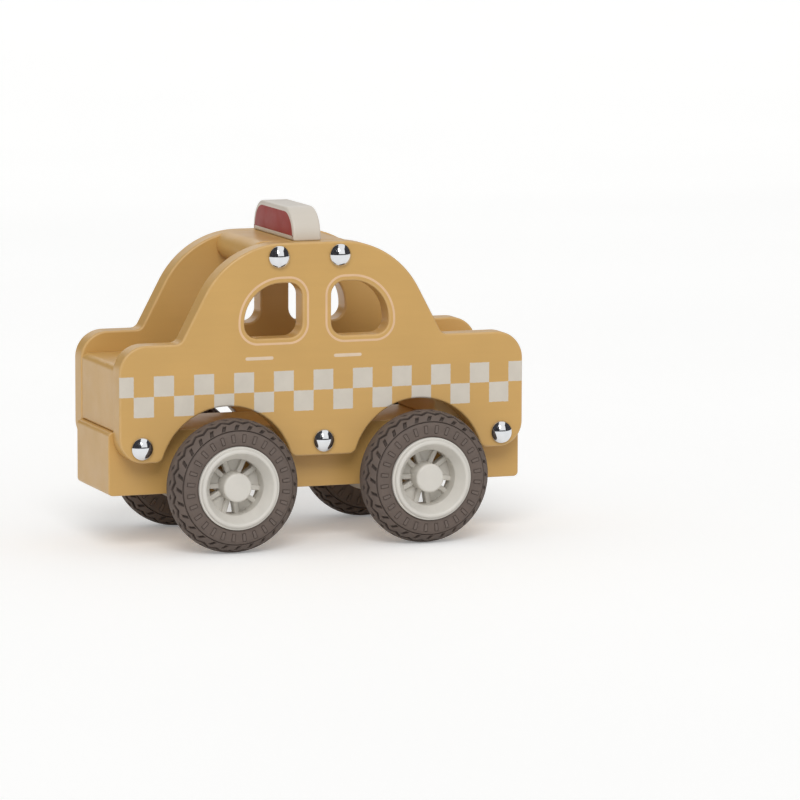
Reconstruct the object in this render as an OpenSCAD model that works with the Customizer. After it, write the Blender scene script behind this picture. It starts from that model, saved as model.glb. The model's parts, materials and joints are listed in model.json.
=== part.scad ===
// Wooden toy taxi: two board sides screwed to a chassis block and a roof board,
// with a roof sign and two wheelsets that roll.
// +X is the taxi's front, +Y its left side and +Z up. The origin lies on the floor,
// midway between the axles. Sizes are in millimetres.

/* [Side panels] */
// Length of a side panel
panel_length = 184; // [176:1:200]
// Thickness of a side panel
panel_thick = 10; // [8:0.5:12]
// Height of the panels' lower edge above the floor
panel_low = 39.2; // [37:0.2:42]
// Height of the bonnet and boot line above the floor
deck_high = 89.8; // [85:0.2:94]
// Height of the roof above the floor
roof_high = 131.8; // [127:0.2:138]
// Radius of the panels' bonnet and boot corners
deck_corner_r = 12; // [6:0.5:16]
// Radius of the panels' lower corners
low_corner_r = 11; // [4:0.5:13]

/* [Cabin] */
// Place of the cabin's middle along the taxi
cabin_x = -5; // [-10:0.5:4]
// Length of the flat stretch of the roof line
roof_flat = 26.5; // [20:0.5:32]
// Radius of the curves from the roof into the screens
roof_curve_r = 40; // [36:1:42]
// Lean of the windscreen and rear screen from upright, in degrees
screen_lean = 28; // [22:1:32]
// Radius of the hollow corner where a screen meets the bonnet or boot
cowl_fillet_r = 4; // [2:0.5:6]

/* [Windows] */
// Place of the middle pillar along the taxi
pillar_x = -3; // [-6:0.5:0]
// Width of the middle pillar
pillar_width = 13.2; // [10:0.2:18]
// Width of a window
window_width = 26.2; // [22:0.2:28]
// Height of a window
window_height = 23.6; // [20:0.2:25]
// Height of the window sills above the floor
sill_high = 90.9; // [89:0.1:93]
// Radius of a window's small corners
window_corner_r = 6; // [2:0.5:6.5]
// Radius of a window's large upper corner
window_arc_r = 16.8; // [10:0.2:18]

/* [Chassis and blocks] */
// Length of the chassis block
chassis_length = 188; // [184:1:206]
// Width of the chassis block, which is the room between the panels
inner_width = 47; // [42:1:56]
// Height of the chassis block's underside above the floor
chassis_low = 24.2; // [22:0.2:25]
// Height of the chassis block itself
chassis_thick = 27.6; // [25:0.2:32]
// Radius of the chassis block's end corners
chassis_corner_r = 2; // [0.5:0.5:5]
// Drop of the bonnet and boot blocks below the panels' deck line
block_drop = 9; // [5:0.5:14]
// Setback of the blocks' outer ends from the chassis block's ends
block_setback = 2.4; // [0.4:0.2:6]
// Radius of the blocks' upper outer corners
block_corner_r = 3; // [1:0.5:6]

/* [Roof] */
// Place of the roof board's middle along the taxi
roof_board_x = -6.5; // [-9:0.5:-2]
// Length of the roof board over its round ends
roof_board_length = 47; // [44:1:54]
// Thickness of the roof board
roof_board_thick = 12; // [10:0.5:14]
// Place of the sign's middle along the taxi
sign_x = -5.4; // [-9:0.2:-2]
// Thickness of the sign along the taxi
sign_thick = 12.5; // [10:0.5:16]
// Length of the sign across the taxi
sign_length = 55; // [48:1:60]
// Height of the sign
sign_high = 14; // [12:0.5:20]
// Radius of the sign's round shoulders
sign_shoulder_r = 12.5; // [8:0.5:14]

/* [Screws and dowels] */
// Radius of a screw's domed head
screw_head_r = 4.9; // [3.5:0.05:5.2]
// Height of a screw's domed head
screw_head_high = 3.4; // [2.6:0.1:4.2]
// Height of the straight side under a screw's dome
screw_side_high = 1; // [0.5:0.1:1.5]
// Radius of a screw's shank
screw_shank_r = 2; // [1.5:0.1:2.5]
// Depth that a screw bites into the block behind the panel
screw_bite = 12; // [10:1:14]
// Distance between the two roof screws
roof_screw_gap = 27.7; // [22:0.1:32]
// Distance of the end base screws from the middle one
base_screw_reach = 82; // [78:1:84]
// Height of the base screws above the floor
base_screw_high = 45.7; // [44:0.1:47]
// Radius of a wooden dowel
dowel_r = 3; // [2:0.5:3]
// Length of a wooden dowel
dowel_length = 16; // [12:1:18]
// Distance between the two dowels of a pair, which stand between the screws' tips
dowel_gap = 13; // [10:1:14]

/* [Wheels] */
// Distance between the axles
wheelbase = 87.5; // [86:0.5:92]
// Distance between the middle planes of two wheels on one axle
track = 80; // [78:0.5:88]
// Radius of a tyre
tyre_r = 29; // [28:0.5:30]
// Width of a tyre
tyre_width = 18.4; // [16:0.2:19]
// Radius of the tyre's round crown in section
tyre_crown_r = 10.1; // [9.6:0.1:12]
// Radius of a wheel arch
arch_r = 30; // [29.5:0.5:33]
// Height of a wheel arch's centre above the axle
arch_lift = 3.2; // [1:0.2:5]
// Radius of the rounded corner where an arch meets the panel's lower edge
arch_corner_r = 3.5; // [1:0.5:5]
// Radius of an axle
axle_r = 2; // [1.5:0.1:2.5]

/* [Rims] */
// Outer radius of a rim's lip
rim_lip_r = 18; // [17.4:0.1:19]
// Radius of the seat that the tyre grips
rim_seat_r = 16.2; // [15.6:0.1:16.8]
// Thickness of the lip beside the tyre
rim_lip_thick = 3.9; // [3:0.1:4.6]
// Radius of the round edge of the lip
rim_edge_r = 1.4; // [0.6:0.1:1.8]
// Inner radius of the lip's flat face
rim_face_r = 15.2; // [14:0.1:16]
// Radius of the deep recess inside the dish
recess_r = 12.2; // [11.6:0.1:13]
// Depth of the sloping dish below the lip's face
dish_depth = 5.2; // [4:0.1:6]
// Depth of the hub's end below the lip's face
hub_depth = 6; // [5:0.1:7]
// Depth of the ribs' upper edges below the lip's face
rib_depth = 11; // [10:0.1:12]
// Height of the ribs above the web's floor
rib_high = 2.6; // [1.5:0.1:3.5]
// Thickness of the web that carries the ribs
web_thick = 2.4; // [1.6:0.1:3]
// Width of a rib
rib_width = 2.2; // [1.4:0.1:2.4]
// Pairs of ribs round a rim
rib_pairs = 5; // [4:1:5]
// Angle between the two ribs of a pair, in degrees
rib_pair_angle = 44; // [36:1:46]
// Turn of the rib pattern about the axle at rest, in degrees
rib_turn = 50; // [0:1:71]
// Radius of the hub and of its cap
hub_r = 6.3; // [5.8:0.1:6.8]
// Height of the hub cap on the hub's end
cap_high = 2.7; // [1.5:0.1:3.5]
// Radius of the cap's stem in the hub
cap_stem_r = 4; // [3:0.1:4.6]
// Length of the cap's stem
cap_stem_length = 2; // [1:0.1:2.4]
// Radius of the boss on the rim's inner side
boss_r = 5; // [4:0.1:6]

/* [Hidden] */
$fn = 96;
// Clearance round an axle in the chassis
axle_clear = 0.06;
// Clearance between a rim's boss and the chassis
boss_clear = 0.5;
// Clearance round screws and dowels
fit_clear = 0.05;
// Room at the end of a blind hole
blind_room = 0.5;
// Depth that the lip sinks into the tyre's side
lip_sink = 1.5;
// Chamfer on a hub cap's front edge
cap_chamfer = 0.5;
// Step of the ribs below the hub's faces, and of the floors behind the ribs
rib_step_in = 0.3;
// Overrun of cuts past the faces they open
cut_over = 1;

RIGHT = -1;
LEFT = 1;
FRONT = 1;
REAR = -1;

// Heights and places that follow from the sizes above
panel_out = inner_width / 2 + panel_thick;
axle_high = tyre_r;
arch_high = axle_high + arch_lift;
chassis_top = chassis_low + chassis_thick;
block_top = deck_high - block_drop;
roof_mid = roof_high - roof_board_thick / 2;
curve_high = roof_high - roof_curve_r;

// The cabin's outline: where a roof curve ends, and where a screen meets the deck
curve_end_x = roof_flat / 2 + roof_curve_r * cos(screen_lean);
curve_end_z = curve_high + roof_curve_r * sin(screen_lean);
cowl_x = curve_end_x + (curve_end_z - deck_high) * tan(screen_lean);
cowl_run = cowl_fillet_r * tan((90 - screen_lean) / 2);

// Screws as [place along the taxi, height]
roof_screws = [for (end = [REAR, FRONT]) [roof_board_x + end * roof_screw_gap / 2, roof_mid]];
base_screws = [for (end = [REAR, 0, FRONT]) [end * base_screw_reach, base_screw_high]];

// Blocks: ends and dowel places along the taxi
bonnet_front = chassis_length / 2 - block_setback;
bonnet_rear = cabin_x + cowl_x;
boot_rear = -chassis_length / 2 + block_setback;
boot_front = cabin_x - cowl_x;
dowel_room = 2 * dowel_r;
bonnet_dowel_x = bonnet_rear + dowel_room;
boot_dowel_x = boot_front - dowel_room;

// Rims, measured outward from the wheel's middle plane
rim_in = -tyre_width / 2;
rim_shelf = tyre_width / 2 - lip_sink;
rim_face = rim_shelf + rim_lip_thick;
hub_top = rim_face - hub_depth;
rib_top = rim_face - rib_depth;
web_top = rib_top - rib_high;
web_back = web_top - web_thick;
rim_back_r = rim_seat_r - (rim_seat_r - recess_r) / 2;
boss_end = inner_width / 2 + boss_clear - track / 2;
axle_end = hub_top - cap_stem_length;
rib_step = 360 / rib_pairs;

// Flat shapes

// What rounds off a corner at the origin whose solid lies towards -X and -Y
module corner_cut(r) {
    translate([-r, -r])
        difference() {
            square(r + cut_over);
            circle(r);
        }
}

// A rectangle from the origin, with radii in order: lower left, lower right, upper right, upper left
module round_rect(size, radii) {
    difference() {
        square(size);
        for (i = [0:3])
            translate([i == 1 || i == 2 ? size.x : 0, i > 1 ? size.y : 0])
                rotate((i + 2) * 90)
                    corner_cut(radii[i]);
    }
}

// The cabin above the deck line, about its own middle
module cabin_outline() {
    top_x = cowl_x - (roof_high - deck_high) * tan(screen_lean);
    foot_x = cowl_x + cowl_run;
    touch = [cowl_x - cowl_run * sin(screen_lean), deck_high + cowl_run * cos(screen_lean)];
    half = [[foot_x, deck_high - deck_corner_r], [foot_x, deck_high], touch, [top_x, roof_high]];
    difference() {
        polygon(concat(half, [for (i = [3:-1:0]) [-half[i].x, half[i].y]]));
        for (end = [0, 1])
            mirror([end, 0]) {
                roof_curve_cut();
                translate([foot_x, deck_high + cowl_fillet_r])
                    circle(cowl_fillet_r);
            }
    }
}

// What rounds the roof line into the windscreen
module roof_curve_cut() {
    centre = [roof_flat / 2, curve_high];
    past = centre + (roof_curve_r + cut_over) * [cos(screen_lean), sin(screen_lean)];
    difference() {
        polygon([
            centre, [centre.x, roof_high + cut_over], [past.x, roof_high + cut_over], past
        ]);
        translate(centre)
            circle(roof_curve_r);
    }
}

// What a wheel arch takes from a panel, about the arch's centre
module arch_cut() {
    foot = panel_low - arch_high;
    reach = arch_r + arch_corner_r;
    centre = [sqrt(pow(reach, 2) - pow(foot + arch_corner_r, 2)), foot + arch_corner_r];
    circle(arch_r);
    for (end = [0, 1])
        mirror([end, 0])
            difference() {
                polygon([
                    [0, foot - cut_over], [centre.x, foot - cut_over],
                    centre, centre * arch_r / reach
                ]);
                translate(centre)
                    circle(arch_corner_r);
            }
}

// The two windows, mirrored about the middle pillar
module window_pair() {
    radii = [window_corner_r, window_corner_r, window_arc_r, window_corner_r];
    translate([pillar_x, sill_high])
        for (end = [0, 1])
            mirror([end, 0])
                translate([pillar_width / 2, 0])
                    round_rect([window_width, window_height], radii);
}

module panel_outline() {
    radii = [low_corner_r, low_corner_r, deck_corner_r, deck_corner_r];
    difference() {
        union() {
            translate([-panel_length / 2, panel_low])
                round_rect([panel_length, deck_high - panel_low], radii);
            translate([cabin_x, 0])
                cabin_outline();
        }
        for (end = [REAR, FRONT])
            translate([end * wheelbase / 2, arch_high])
                arch_cut();
        window_pair();
    }
}

// Places and holes

// Turns a flat XZ shape up and gives it a width across the taxi, about the middle
module across(width) {
    translate([0, width / 2, 0])
        rotate([90, 0, 0])
            linear_extrude(width)
                children();
}

// Places a piece at each screw on one side, with its +Z pointing out of the panel
module at_screws(places, side) {
    for (place = places)
        translate([place[0], side * panel_out, place[1]])
            rotate([-90 * side, 0, 0])
                children();
}

// Places a piece at a wheel, with its +Z pointing away from the taxi
module at_wheel(end, side) {
    translate([end * wheelbase / 2, side * track / 2, axle_high])
        rotate([-90 * side, 0, 0])
            children();
}

// Places a piece at both dowels of a pair
module at_dowels(x, z) {
    for (side = [RIGHT, LEFT])
        translate([x, side * dowel_gap / 2, z])
            children();
}

module screw_hole() {
    depth = panel_thick + screw_bite + blind_room;
    translate([0, 0, -depth])
        cylinder(h = depth + cut_over, r = screw_shank_r + fit_clear);
}

module dowel_hole() {
    depth = dowel_length + 2 * blind_room;
    translate([0, 0, -depth / 2])
        cylinder(h = depth, r = dowel_r + fit_clear);
}

module dowel() {
    translate([0, 0, -dowel_length / 2])
        cylinder(h = dowel_length, r = dowel_r);
}

// Wooden pieces

module side_panel(side) {
    color("#cda564")
        difference() {
            translate([0, side * (inner_width + panel_thick) / 2, 0])
                across(panel_thick)
                    panel_outline();
            at_screws(concat(roof_screws, base_screws), side)
                screw_hole();
        }
}

module chassis_block() {
    radii = [chassis_corner_r, chassis_corner_r, chassis_corner_r, chassis_corner_r];
    color("#c59d5e")
        difference() {
            across(inner_width)
                translate([-chassis_length / 2, chassis_low])
                    round_rect([chassis_length, chassis_thick], radii);
            for (end = [REAR, FRONT])
                translate([end * wheelbase / 2, 0, axle_high])
                    rotate([90, 0, 0])
                        cylinder(h = inner_width + cut_over, r = axle_r + axle_clear, center = true);
            for (side = [RIGHT, LEFT])
                at_screws(base_screws, side)
                    screw_hole();
            for (x = [boot_dowel_x, bonnet_dowel_x])
                at_dowels(x, chassis_top)
                    dowel_hole();
        }
}

// A block on the chassis, from the cabin's end out to the panels' end
module end_block(inner_x, outer_x, dowel_x) {
    length = abs(outer_x - inner_x);
    size = [length, block_top - chassis_top];
    color("#c8a062")
        difference() {
            across(inner_width)
                translate([inner_x, chassis_top])
                    mirror([outer_x < inner_x ? 1 : 0, 0])
                        difference() {
                            square(size);
                            translate(size)
                                corner_cut(block_corner_r);
                        }
            at_dowels(dowel_x, chassis_top)
                dowel_hole();
        }
}

module bonnet_block() {
    end_block(bonnet_rear, bonnet_front, bonnet_dowel_x);
}

module boot_block() {
    end_block(boot_front, boot_rear, boot_dowel_x);
}

module roof_board() {
    end_r = roof_board_thick / 2;
    color("#c8a062")
        difference() {
            across(inner_width)
                translate([roof_board_x, roof_mid])
                    union() {
                        square([roof_board_length - 2 * end_r, roof_board_thick], center = true);
                        for (end = [REAR, FRONT])
                            translate([end * (roof_board_length / 2 - end_r), 0])
                                circle(end_r);
                    }
            for (side = [RIGHT, LEFT])
                at_screws(roof_screws, side)
                    screw_hole();
            at_dowels(sign_x, roof_high)
                dowel_hole();
        }
}

module roof_sign() {
    color("#e1d7cd")
        difference() {
            translate([sign_x - sign_thick / 2, 0, roof_high])
                rotate([90, 0, 90])
                    linear_extrude(sign_thick)
                        sign_outline();
            at_dowels(sign_x, roof_high)
                dowel_hole();
        }
}

module sign_outline() {
    size = [sign_length, sign_high];
    translate([-sign_length / 2, 0])
        difference() {
            square(size);
            translate(size)
                corner_cut(sign_shoulder_r);
            translate([0, sign_high])
                rotate(90)
                    corner_cut(sign_shoulder_r);
        }
}

module dowel_pair(x, z) {
    color("burlywood")
        at_dowels(x, z)
            dowel();
}

// Metal pieces

module domed_screw() {
    rise = screw_head_high - screw_side_high;
    dome_r = (pow(screw_head_r, 2) + pow(rise, 2)) / (2 * rise);
    length = panel_thick + screw_bite;
    intersection() {
        translate([0, 0, screw_head_high - dome_r])
            sphere(dome_r);
        cylinder(h = screw_head_high + dome_r, r = screw_head_r);
    }
    translate([0, 0, -length])
        cylinder(h = length, r = screw_shank_r);
}

module screw_group(places, side) {
    color("silver")
        at_screws(places, side)
            domed_screw();
}

module axle(end) {
    color("lightsteelblue")
        translate([end * wheelbase / 2, 0, axle_high])
            rotate([90, 0, 0])
                cylinder(h = track + 2 * axle_end, r = axle_r, center = true);
}

// Wheel pieces, turned about the axle with +Z away from the taxi

// Section of a rim's ring, from the recess wall out to the lip
module ring_section() {
    difference() {
        polygon([
            [recess_r, web_back], [rim_back_r, web_back], [rim_back_r, rim_in], [rim_seat_r, rim_in],
            [rim_seat_r, rim_shelf], [rim_lip_r, rim_shelf], [rim_lip_r, rim_face],
            [rim_face_r, rim_face], [recess_r, rim_face - dish_depth]
        ]);
        translate([rim_lip_r, rim_face])
            corner_cut(rim_edge_r);
    }
}

// Section of a rim's hub, with the boss behind it and the socket for the cap's stem
module hub_section() {
    polygon([
        [axle_r, boss_end], [boss_r, boss_end], [boss_r, web_back], [hub_r, web_back],
        [hub_r, hub_top], [cap_stem_r + fit_clear, hub_top],
        [cap_stem_r + fit_clear, axle_end], [axle_r, axle_end]
    ]);
}

// The ring and the hub are joined by pairs of ribs, and each pair has a floor between its ribs
module rim(end, side) {
    color("#d0ccc0")
        at_wheel(end, side)
            union() {
                rotate_extrude()
                    ring_section();
                rotate_extrude()
                    hub_section();
                for (i = [0:rib_pairs - 1])
                    rotate((i + 1 / 2) * rib_step + rib_turn) {
                        rib_floor();
                        for (half = [-1, 1])
                            rotate(half * rib_pair_angle / 2)
                                rim_rib();
                    }
            }
}

// One rib from inside the hub into the ring, along +X
module rim_rib() {
    start = hub_r - rib_width / 2;
    translate([start, -rib_width / 2, web_back + rib_step_in])
        cube([
            recess_r + rib_width / 2 - start, rib_width, rib_top - web_back - 2 * rib_step_in
        ]);
}

// The floor between the two ribs of a pair, along +X, with its sides inside the ribs
module rib_floor() {
    ends = [hub_r - rib_width / 2, recess_r + rib_width / 2];
    run = ends * tan(rib_pair_angle / 2);
    translate([0, 0, web_back + 2 * rib_step_in])
        linear_extrude(web_thick - 2 * rib_step_in)
            intersection() {
                circle(recess_r + rib_width / 4);
                polygon([
                    [ends[0], -run[0]], [ends[1], -run[1]], [ends[1], run[1]], [ends[0], run[0]]
                ]);
            }
}

module tyre(end, side) {
    color("#6c615c")
        at_wheel(end, side)
            rotate_extrude()
                difference() {
                    intersection() {
                        translate([tyre_r - tyre_crown_r, 0])
                            circle(tyre_crown_r);
                        translate([rim_seat_r, -tyre_width / 2])
                            square([tyre_r, tyre_width]);
                    }
                    translate([0, rim_shelf])
                        square([rim_lip_r, tyre_width]);
                }
}

module hub_cap(end, side) {
    color("#d8d2c6")
        at_wheel(end, side)
            rotate_extrude()
                polygon([
                    [0, axle_end], [cap_stem_r, axle_end], [cap_stem_r, hub_top], [hub_r, hub_top],
                    [hub_r, hub_top + cap_high - cap_chamfer],
                    [hub_r - cap_chamfer, hub_top + cap_high], [0, hub_top + cap_high]
                ]);
}

side_panel(RIGHT);  // right_side_panel
side_panel(LEFT);  // left_side_panel
chassis_block();
bonnet_block();
boot_block();
roof_board();
roof_sign();
dowel_pair(sign_x, roof_high);  // sign_dowels
dowel_pair(bonnet_dowel_x, chassis_top);  // bonnet_dowels
dowel_pair(boot_dowel_x, chassis_top);  // boot_dowels
screw_group(roof_screws, RIGHT);  // right_roof_screws
screw_group(roof_screws, LEFT);  // left_roof_screws
screw_group(base_screws, RIGHT);  // right_base_screws
screw_group(base_screws, LEFT);  // left_base_screws
axle(FRONT);  // front_axle
rim(FRONT, RIGHT);  // front_right_rim
tyre(FRONT, RIGHT);  // front_right_tyre
hub_cap(FRONT, RIGHT);  // front_right_hub_cap
rim(FRONT, LEFT);  // front_left_rim
tyre(FRONT, LEFT);  // front_left_tyre
hub_cap(FRONT, LEFT);  // front_left_hub_cap
axle(REAR);  // rear_axle
rim(REAR, RIGHT);  // rear_right_rim
tyre(REAR, RIGHT);  // rear_right_tyre
hub_cap(REAR, RIGHT);  // rear_right_hub_cap
rim(REAR, LEFT);  // rear_left_rim
tyre(REAR, LEFT);  // rear_left_tyre
hub_cap(REAR, LEFT);  // rear_left_hub_cap
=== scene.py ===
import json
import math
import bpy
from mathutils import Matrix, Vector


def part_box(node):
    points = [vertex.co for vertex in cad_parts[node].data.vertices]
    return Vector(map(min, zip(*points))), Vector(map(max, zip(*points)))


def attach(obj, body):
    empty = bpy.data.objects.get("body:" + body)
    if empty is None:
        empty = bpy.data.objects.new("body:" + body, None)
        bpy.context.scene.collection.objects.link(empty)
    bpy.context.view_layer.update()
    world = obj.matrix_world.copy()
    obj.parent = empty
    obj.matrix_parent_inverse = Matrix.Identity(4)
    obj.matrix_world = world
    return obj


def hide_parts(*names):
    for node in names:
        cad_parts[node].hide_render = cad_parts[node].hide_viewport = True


bl_info = {
    "name": "Wooden toy taxi",
    "version": (1, 0, 0),
    "blender": (4, 5, 0),
    "location": "3D View > Sidebar > Taxi",
    "description": "Builds the looks of a wooden toy taxi around its packed CAD model",
    "category": "Object",
}

import bmesh
import bpy
from bpy.types import Operator, Panel, PropertyGroup
from mathutils import Matrix, Vector

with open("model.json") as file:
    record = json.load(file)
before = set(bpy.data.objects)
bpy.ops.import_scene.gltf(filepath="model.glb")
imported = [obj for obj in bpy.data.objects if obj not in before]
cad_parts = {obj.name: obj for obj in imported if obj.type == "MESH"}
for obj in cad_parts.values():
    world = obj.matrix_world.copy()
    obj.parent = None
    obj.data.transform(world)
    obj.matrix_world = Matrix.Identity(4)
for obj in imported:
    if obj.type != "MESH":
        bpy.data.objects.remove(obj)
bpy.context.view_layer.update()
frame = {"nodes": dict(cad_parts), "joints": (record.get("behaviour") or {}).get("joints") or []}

# Fineness of the meshes
ARC_SAG = 0.000012
EDGE_STEPS = 4
LATHE_STEPS = 128
CAP_STEPS = 96
DOME_STEPS = 72
FLOOR_SIDES = 96
SHARP = math.radians(38)
MITRE_LIMIT = 0.3
TINY = 1e-7
WHITE = (1.0, 1.0, 1.0)

SIDES = {"right": -1, "left": 1}
ENDS = {"front": 1, "rear": -1}
WHEELS = [(end, side) for end in ENDS for side in SIDES]
SCREW_GROUPS = ("roof", "base")

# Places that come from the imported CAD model
PANEL_LOW, PANEL_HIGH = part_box("right_side_panel")
PANEL_FACE = abs(PANEL_LOW.y)
ROOF_LOW, ROOF_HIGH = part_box("roof_board")
AXLES = {joint["child"].split("_")[0]: joint["pos_m"] for joint in frame["joints"]}
TYRE_LOW, TYRE_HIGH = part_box("front_right_tyre")
TYRE_R = (TYRE_HIGH.z - TYRE_LOW.z) / 2
TYRE_HALF = (TYRE_HIGH.y - TYRE_LOW.y) / 2
WHEEL_MIDDLE = abs(TYRE_LOW.y + TYRE_HIGH.y) / 2
RIM_LOW, RIM_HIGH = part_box("front_right_rim")
RIM_FACE = -RIM_LOW.y - WHEEL_MIDDLE
BOSS_END = -RIM_HIGH.y - WHEEL_MIDDLE
CAP_FACE = -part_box("front_right_hub_cap")[0].y - WHEEL_MIDDLE

# Shares of the sizes that these small forms follow
PRINT_WRAP = 0.75
INK_COVER = 0.97
INK_SINK = 3
ROOF_NOSE = 0.999
SIGN_FOOT = 0.6
TYRE_BEAD = 0.6
RIM_FLANGE = 0.35
RIM_SOFT = 0.6
HUB_BORE = 0.4
CAP_GAP = 0.02


def linear(red, green, blue):
    """A colour written as screen values from 0 to 255, as the linear values that Blender works in."""
    shares = (red / 255, green / 255, blue / 255)
    return tuple(s / 12.92 if s <= 0.04045 else ((s + 0.055) / 1.055) ** 2.4 for s in shares)


def length(name, description, default):
    return bpy.props.FloatProperty(
        name=name, description=description, default=default, unit="LENGTH", precision=5)


def angle(name, description, degrees):
    default = math.radians(degrees)
    return bpy.props.FloatProperty(name=name, description=description, default=default, subtype="ANGLE")


def tint(name, description, *screen):
    default = linear(*screen)
    return bpy.props.FloatVectorProperty(
        name=name, description=description, default=default, size=3, min=0, max=1, subtype="COLOR")


def share(name, description, default, top=1.0):
    return bpy.props.FloatProperty(name=name, description=description, default=default, min=0, max=top)


def number(name, description, default, least):
    return bpy.props.IntProperty(name=name, description=description, default=default, min=least)


def vector(name, description, subtype, *default):
    return bpy.props.FloatVectorProperty(
        name=name, description=description, subtype=subtype, default=default, size=3, precision=4)


class TaxiBoards(PropertyGroup):
    """Shape and paint of the wooden boards."""

    edge: length("Edge rounding", "Radius of the boards' sanded edges", 0.0010)
    deck: length("Deck height", "Height of the bonnet and boot line", 0.0898)
    deck_corner: length("Deck corner", "Radius of the panels' bonnet and boot corners", 0.012)
    low_corner: length("Lower corner", "Radius of the panels' lower corners", 0.011)
    cabin_x: length("Cabin middle", "Place of the cabin's middle along the taxi", -0.005)
    roof_flat: length("Flat of the roof", "Length of the roof line's flat stretch", 0.0265)
    roof_curve: length("Roof curve", "Radius from the roof into the screens", 0.040)
    lean: angle("Screen lean", "Lean of both screens from upright", 28)
    cowl: length("Cowl fillet", "Radius of the hollow corner at a screen's foot", 0.004)
    arch: length("Wheel arch", "Radius of a wheel arch", 0.030)
    arch_lift: length("Arch lift", "Height of an arch's centre above the axle", 0.0032)
    arch_corner: length("Arch corner", "Radius where an arch meets the panel's lower edge", 0.0035)
    pillar_x: length("Pillar middle", "Place of the middle pillar along the taxi", -0.003)
    pillar: length("Pillar width", "Width of the middle pillar", 0.0132)
    window_wide: length("Window width", "Width of a window", 0.0262)
    window_high: length("Window height", "Height of a window", 0.0236)
    sill: length("Sill height", "Height of the window sills", 0.0909)
    window_corner: length("Window corner", "Radius of a window's small corners", 0.006)
    window_arc: length("Window arc", "Radius of a window's large upper corner", 0.0168)
    block_corner: length("Block corner", "Radius of the end blocks' upper corners", 0.003)
    chassis_corner: length("Chassis corner", "Radius of the chassis block's end corners", 0.002)
    bore: length("Axle bore", "Radius of the chassis block's axle bores", 0.00206)
    shoulder: length("Sign shoulder", "Radius of the sign's round shoulders", 0.0125)
    ochre: tint("Ochre paint", "Colour of the body's paint", 207, 165, 98)
    cream: tint("Sign paint", "Colour of the sign's paint", 214, 206, 194)
    wood: tint("Bare wood", "Colour of the dowels", 203, 170, 126)


class TaxiPrints(PropertyGroup):
    """Printed band, window lines, handles and sign face."""

    start: length("Band start", "Place of a border between two squares", 0.01334)
    square: length("Square length", "Length of a square along the band", 0.0090)
    row: length("Row height", "Height of a row of squares", 0.0088)
    middle: length("Band middle", "Height of the border between both rows", 0.0678)
    line_gap: length("Line gap", "Distance of a window line from its window", 0.0024)
    line: length("Line width", "Width of a window line", 0.0010)
    handle_high: length("Handle height", "Height of the door handles", 0.0824)
    handle_length: length("Handle length", "Length of a door handle", 0.0127)
    handle_wide: length("Handle width", "Width of a door handle", 0.00145)
    front_handle: length("Front handle", "Middle of the front door handle", 0.01095)
    rear_handle: length("Rear handle", "Middle of the rear door handle", -0.0292)
    border: length("Sign border", "Width of the sign's plain border", 0.0011)
    film: length("Ink film", "Height of an ink film above the paint", 0.00004)
    ink: tint("Square ink", "Colour of the band's pale squares", 212, 205, 193)
    line_ink: tint("Line ink", "Colour of the window lines", 227, 190, 150)
    handle_ink: tint("Handle ink", "Colour of the door handles", 226, 204, 178)
    red: tint("Sign red", "Colour of the sign's rear face", 160, 52, 44)


class TaxiHardware(PropertyGroup):
    """Screws and axles."""

    head: length("Head radius", "Radius of a screw's domed head", 0.0049)
    dome: length("Head height", "Height of a screw's domed head", 0.0034)
    skirt: length("Head side", "Height of the straight side under a screw's dome", 0.001)
    shank: length("Shank radius", "Radius of a screw's shank", 0.0020)
    chrome: tint("Chrome", "Colour of the screws' plating", 226, 228, 231)
    steel: tint("Steel", "Colour of the axles", 190, 192, 194)


class TaxiWheels(PropertyGroup):
    """Tyres, rims and hub caps."""

    crown: length("Crown radius", "Radius of the tyre's crown in section", 0.0101)
    lip: length("Lip radius", "Outer radius of the rim's lip", 0.018)
    seat: length("Seat radius", "Radius of the seat under the tyre", 0.0162)
    sink: length("Lip sink", "Depth that the lip sinks into the tyre's side", 0.0015)
    flange: length("Flange height", "Height of the lip's thin outer flange", 0.0025)
    bead: length("Lip bead", "Radius of the lip's round bead in section", 0.0011)
    bead_r: length("Bead ring", "Radius of the ring that the bead's middle follows", 0.0160)
    dish: length("Dish depth", "Depth of the sloping dish below the lip's face", 0.0052)
    recess: length("Recess radius", "Radius of the rim's deep recess", 0.0122)
    back: length("Back radius", "Radius of the hollow behind the rim", 0.0142)
    hub: length("Hub radius", "Radius of the hub and its cap", 0.0063)
    boss: length("Boss radius", "Radius of the boss behind the hub", 0.005)
    hub_depth: length("Hub depth", "Depth of the hub's end below the lip's face", 0.006)
    cap_edge: length("Cap edge", "Radius of a cap's round edge", 0.0011)
    rib_depth: length("Rib depth", "Depth of the ribs below the lip's face", 0.0113)
    rib_high: length("Rib height", "Height of the ribs above the floors between them", 0.0016)
    web: length("Web thickness", "Thickness of the web that carries the ribs", 0.0031)
    spoke: length("Rib width", "Width of a rib of the rim", 0.0022)
    pair: angle("Rib pair", "Angle between the two ribs of a pair", 44)
    turn: angle("Rib turn", "Turn of the ribs about the axle", 50)
    pairs: number("Rib pairs", "Pairs of ribs round a rim", 5, 3)
    lugs: number("Tread pitches", "Tread pitches round a tyre", 28, 12)
    slot: length("Slot depth", "Depth of the tread's slots", 0.0012)
    zigzag: angle("Zigzag", "Swing of the tread's zigzag groove across the crown", 4.6)
    bar: length("Bar height", "Height of the bars on a tyre's side", 0.00034)
    bar_start: length("Bar start", "Radius where the side bars start", 0.0200)
    bar_end: length("Bar end", "Radius where the side bars end", 0.0229)
    rubber: tint("Rubber", "Colour of the tyres", 106, 94, 87)
    plastic: tint("Plastic", "Colour of the rims and caps", 217, 213, 205)


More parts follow.
